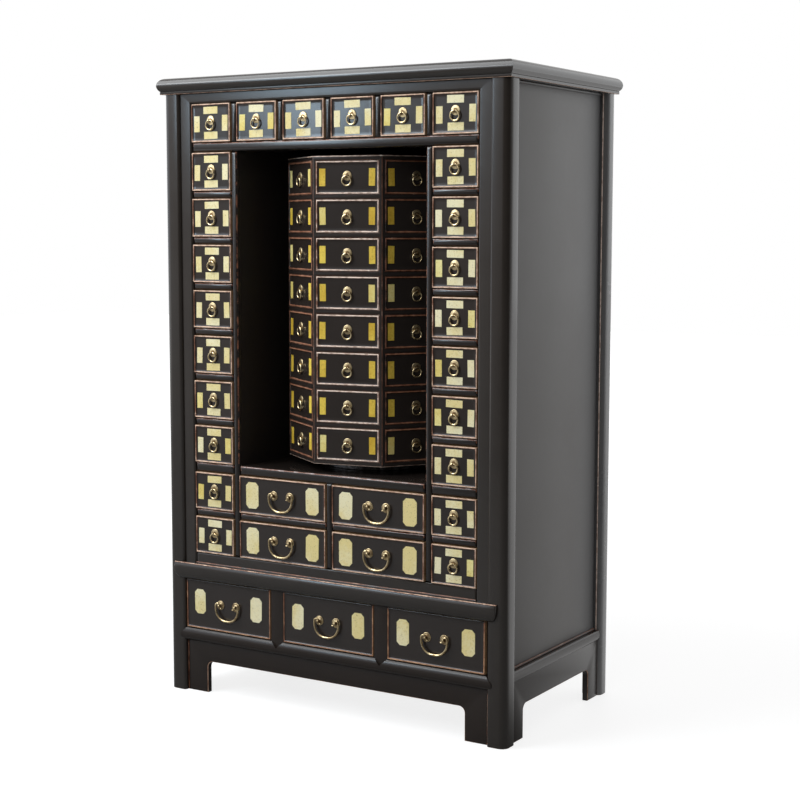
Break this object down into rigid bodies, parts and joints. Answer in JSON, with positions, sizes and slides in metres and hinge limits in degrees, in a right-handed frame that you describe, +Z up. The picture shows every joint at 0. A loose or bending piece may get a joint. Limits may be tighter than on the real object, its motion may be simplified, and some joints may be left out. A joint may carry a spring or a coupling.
{
  "type": "multi-drawer cabinet",
  "caption": "Black-lacquered apothecary cabinet on legs: small drawers frame a niche with a revolving eight-sided drawer tower, wide drawers below, a moulded top and arched aprons.",
  "frame": {"origin": "middle of the footprint, on the floor", "axes": "+Z up, the drawer fronts face -Y, +X to the right as seen from the front"},
  "size_m": [1.0364, 0.603, 1.605],
  "materials": {
    "carcass_lacquer": "black satin lacquer on wood, rubbed through to reddish-tan ground on the edges",
    "rack_lacquer": "black satin lacquer on wood, worn front edges",
    "drawer_lacquer": "black satin lacquer fronts with worn beads, bare wood inside",
    "tower_lacquer": "black satin lacquer on wood, worn edges",
    "back_board": "dark stained back board",
    "dark_steel": "dark oiled steel turntable discs",
    "aged_brass": "dark aged brass pulls and rosettes",
    "label_paper": "aged cream to ochre labels, left bare"
  },
  "bodies": {
    "carcass": {"top_panel": "carcass_lacquer", "post_front_left": "carcass_lacquer", "post_front_right": "carcass_lacquer", "post_back_left": "carcass_lacquer", "post_back_right": "carcass_lacquer", "side_panel_left": "carcass_lacquer", "side_panel_right": "carcass_lacquer", "back_panel": "back_board", "face_frame": "carcass_lacquer", "top_row_rack": "rack_lacquer", "left_column_rack": "rack_lacquer", "right_column_rack": "rack_lacquer", "lower_rack": "rack_lacquer", "waist_board": "carcass_lacquer", "base_rack": "rack_lacquer", "front_apron": "carcass_lacquer", "side_apron_left": "carcass_lacquer", "side_apron_right": "carcass_lacquer", "turntable_fixed": "dark_steel"},
    "tower": {"tower_case": "tower_lacquer", "turntable_turning": "dark_steel"},
    "tower_drawer_1": {"tower_drawer_1": "tower_lacquer"},
    "tower_drawer_2": {"tower_drawer_2": "tower_lacquer"},
    "tower_drawer_3": {"tower_drawer_3": "tower_lacquer"},
    "tower_drawer_4": {"tower_drawer_4": "tower_lacquer"},
    "tower_drawer_5": {"tower_drawer_5": "tower_lacquer"},
    "tower_drawer_6": {"tower_drawer_6": "tower_lacquer"},
    "tower_drawer_7": {"tower_drawer_7": "tower_lacquer"},
    "tower_drawer_8": {"tower_drawer_8": "tower_lacquer"},
    "drawer_top_1": {"drawer_top_1": "drawer_lacquer"},
    "drawer_top_2": {"drawer_top_2": "drawer_lacquer"},
    "drawer_top_3": {"drawer_top_3": "drawer_lacquer"},
    "drawer_top_4": {"drawer_top_4": "drawer_lacquer"},
    "drawer_top_5": {"drawer_top_5": "drawer_lacquer"},
    "drawer_top_6": {"drawer_top_6": "drawer_lacquer"},
    "drawer_left_1": {"drawer_left_1": "drawer_lacquer"},
    "drawer_left_2": {"drawer_left_2": "drawer_lacquer"},
    "drawer_left_3": {"drawer_left_3": "drawer_lacquer"},
    "drawer_left_4": {"drawer_left_4": "drawer_lacquer"},
    "drawer_left_5": {"drawer_left_5": "drawer_lacquer"},
    "drawer_left_6": {"drawer_left_6": "drawer_lacquer"},
    "drawer_left_7": {"drawer_left_7": "drawer_lacquer"},
    "drawer_left_8": {"drawer_left_8": "drawer_lacquer"},
    "drawer_left_9": {"drawer_left_9": "drawer_lacquer"},
    "drawer_right_1": {"drawer_right_1": "drawer_lacquer"},
    "drawer_right_2": {"drawer_right_2": "drawer_lacquer"},
    "drawer_right_3": {"drawer_right_3": "drawer_lacquer"},
    "drawer_right_4": {"drawer_right_4": "drawer_lacquer"},
    "drawer_right_5": {"drawer_right_5": "drawer_lacquer"},
    "drawer_right_6": {"drawer_right_6": "drawer_lacquer"},
    "drawer_right_7": {"drawer_right_7": "drawer_lacquer"},
    "drawer_right_8": {"drawer_right_8": "drawer_lacquer"},
    "drawer_right_9": {"drawer_right_9": "drawer_lacquer"},
    "drawer_wide_1": {"drawer_wide_1": "drawer_lacquer"},
    "drawer_wide_2": {"drawer_wide_2": "drawer_lacquer"},
    "drawer_wide_3": {"drawer_wide_3": "drawer_lacquer"},
    "drawer_wide_4": {"drawer_wide_4": "drawer_lacquer"},
    "drawer_base_1": {"drawer_base_1": "drawer_lacquer"},
    "drawer_base_2": {"drawer_base_2": "drawer_lacquer"},
    "drawer_base_3": {"drawer_base_3": "drawer_lacquer"}
  },
  "joints": [
    {"name": "tower_turn", "type": "hinge", "parent": "carcass", "child": "tower", "pos_m": [0, -0.0335, 0.6261], "axis": [0, 0, 1], "range_deg": [-360, 360]},
    {"name": "tower_drawer_1_slide", "type": "slide", "parent": "tower", "child": "tower_drawer_1", "axis": [0.1754, -0.9845, 0], "range_m": [0, 0.095]},
    {"name": "tower_drawer_2_slide", "type": "slide", "parent": "tower", "child": "tower_drawer_2", "axis": [0.1754, -0.9845, 0], "range_m": [0, 0.095]},
    {"name": "tower_drawer_3_slide", "type": "slide", "parent": "tower", "child": "tower_drawer_3", "axis": [0.1754, -0.9845, 0], "range_m": [0, 0.095]},
    {"name": "tower_drawer_4_slide", "type": "slide", "parent": "tower", "child": "tower_drawer_4", "axis": [0.1754, -0.9845, 0], "range_m": [0, 0.095]},
    {"name": "tower_drawer_5_slide", "type": "slide", "parent": "tower", "child": "tower_drawer_5", "axis": [0.1754, -0.9845, 0], "range_m": [0, 0.095]},
    {"name": "tower_drawer_6_slide", "type": "slide", "parent": "tower", "child": "tower_drawer_6", "axis": [0.1754, -0.9845, 0], "range_m": [0, 0.095]},
    {"name": "tower_drawer_7_slide", "type": "slide", "parent": "tower", "child": "tower_drawer_7", "axis": [0.1754, -0.9845, 0], "range_m": [0, 0.095]},
    {"name": "tower_drawer_8_slide", "type": "slide", "parent": "tower", "child": "tower_drawer_8", "axis": [0.1754, -0.9845, 0], "range_m": [0, 0.095]},
    {"name": "drawer_top_1_slide", "type": "slide", "parent": "carcass", "child": "drawer_top_1", "axis": [0, -1, 0], "range_m": [0, 0.33]},
    {"name": "drawer_top_2_slide", "type": "slide", "parent": "carcass", "child": "drawer_top_2", "axis": [0, -1, 0], "range_m": [0, 0.33]},
    {"name": "drawer_top_3_slide", "type": "slide", "parent": "carcass", "child": "drawer_top_3", "axis": [0, -1, 0], "range_m": [0, 0.33]},
    {"name": "drawer_top_4_slide", "type": "slide", "parent": "carcass", "child": "drawer_top_4", "axis": [0, -1, 0], "range_m": [0, 0.33]},
    {"name": "drawer_top_5_slide", "type": "slide", "parent": "carcass", "child": "drawer_top_5", "axis": [0, -1, 0], "range_m": [0, 0.33]},
    {"name": "drawer_top_6_slide", "type": "slide", "parent": "carcass", "child": "drawer_top_6", "axis": [0, -1, 0], "range_m": [0, 0.33]},
    {"name": "drawer_left_1_slide", "type": "slide", "parent": "carcass", "child": "drawer_left_1", "axis": [0, -1, 0], "range_m": [0, 0.33]},
    {"name": "drawer_left_2_slide", "type": "slide", "parent": "carcass", "child": "drawer_left_2", "axis": [0, -1, 0], "range_m": [0, 0.33]},
    {"name": "drawer_left_3_slide", "type": "slide", "parent": "carcass", "child": "drawer_left_3", "axis": [0, -1, 0], "range_m": [0, 0.33]},
    {"name": "drawer_left_4_slide", "type": "slide", "parent": "carcass", "child": "drawer_left_4", "axis": [0, -1, 0], "range_m": [0, 0.33]},
    {"name": "drawer_left_5_slide", "type": "slide", "parent": "carcass", "child": "drawer_left_5", "axis": [0, -1, 0], "range_m": [0, 0.33]},
    {"name": "drawer_left_6_slide", "type": "slide", "parent": "carcass", "child": "drawer_left_6", "axis": [0, -1, 0], "range_m": [0, 0.33]},
    {"name": "drawer_left_7_slide", "type": "slide", "parent": "carcass", "child": "drawer_left_7", "axis": [0, -1, 0], "range_m": [0, 0.33]},
    {"name": "drawer_left_8_slide", "type": "slide", "parent": "carcass", "child": "drawer_left_8", "axis": [0, -1, 0], "range_m": [0, 0.33]},
    {"name": "drawer_left_9_slide", "type": "slide", "parent": "carcass", "child": "drawer_left_9", "axis": [0, -1, 0], "range_m": [0, 0.33]},
    {"name": "drawer_right_1_slide", "type": "slide", "parent": "carcass", "child": "drawer_right_1", "axis": [0, -1, 0], "range_m": [0, 0.33]},
    {"name": "drawer_right_2_slide", "type": "slide", "parent": "carcass", "child": "drawer_right_2", "axis": [0, -1, 0], "range_m": [0, 0.33]},
    {"name": "drawer_right_3_slide", "type": "slide", "parent": "carcass", "child": "drawer_right_3", "axis": [0, -1, 0], "range_m": [0, 0.33]},
    {"name": "drawer_right_4_slide", "type": "slide", "parent": "carcass", "child": "drawer_right_4", "axis": [0, -1, 0], "range_m": [0, 0.33]},
    {"name": "drawer_right_5_slide", "type": "slide", "parent": "carcass", "child": "drawer_right_5", "axis": [0, -1, 0], "range_m": [0, 0.33]},
    {"name": "drawer_right_6_slide", "type": "slide", "parent": "carcass", "child": "drawer_right_6", "axis": [0, -1, 0], "range_m": [0, 0.33]},
    {"name": "drawer_right_7_slide", "type": "slide", "parent": "carcass", "child": "drawer_right_7", "axis": [0, -1, 0], "range_m": [0, 0.33]},
    {"name": "drawer_right_8_slide", "type": "slide", "parent": "carcass", "child": "drawer_right_8", "axis": [0, -1, 0], "range_m": [0, 0.33]},
    {"name": "drawer_right_9_slide", "type": "slide", "parent": "carcass", "child": "drawer_right_9", "axis": [0, -1, 0], "range_m": [0, 0.33]},
    {"name": "drawer_wide_1_slide", "type": "slide", "parent": "carcass", "child": "drawer_wide_1", "axis": [0, -1, 0], "range_m": [0, 0.33]},
    {"name": "drawer_wide_2_slide", "type": "slide", "parent": "carcass", "child": "drawer_wide_2", "axis": [0, -1, 0], "range_m": [0, 0.33]},
    {"name": "drawer_wide_3_slide", "type": "slide", "parent": "carcass", "child": "drawer_wide_3", "axis": [0, -1, 0], "range_m": [0, 0.33]},
    {"name": "drawer_wide_4_slide", "type": "slide", "parent": "carcass", "child": "drawer_wide_4", "axis": [0, -1, 0], "range_m": [0, 0.33]},
    {"name": "drawer_base_1_slide", "type": "slide", "parent": "carcass", "child": "drawer_base_1", "axis": [0, -1, 0], "range_m": [0, 0.33]},
    {"name": "drawer_base_2_slide", "type": "slide", "parent": "carcass", "child": "drawer_base_2", "axis": [0, -1, 0], "range_m": [0, 0.33]},
    {"name": "drawer_base_3_slide", "type": "slide", "parent": "carcass", "child": "drawer_base_3", "axis": [0, -1, 0], "range_m": [0, 0.33]}
  ]
}
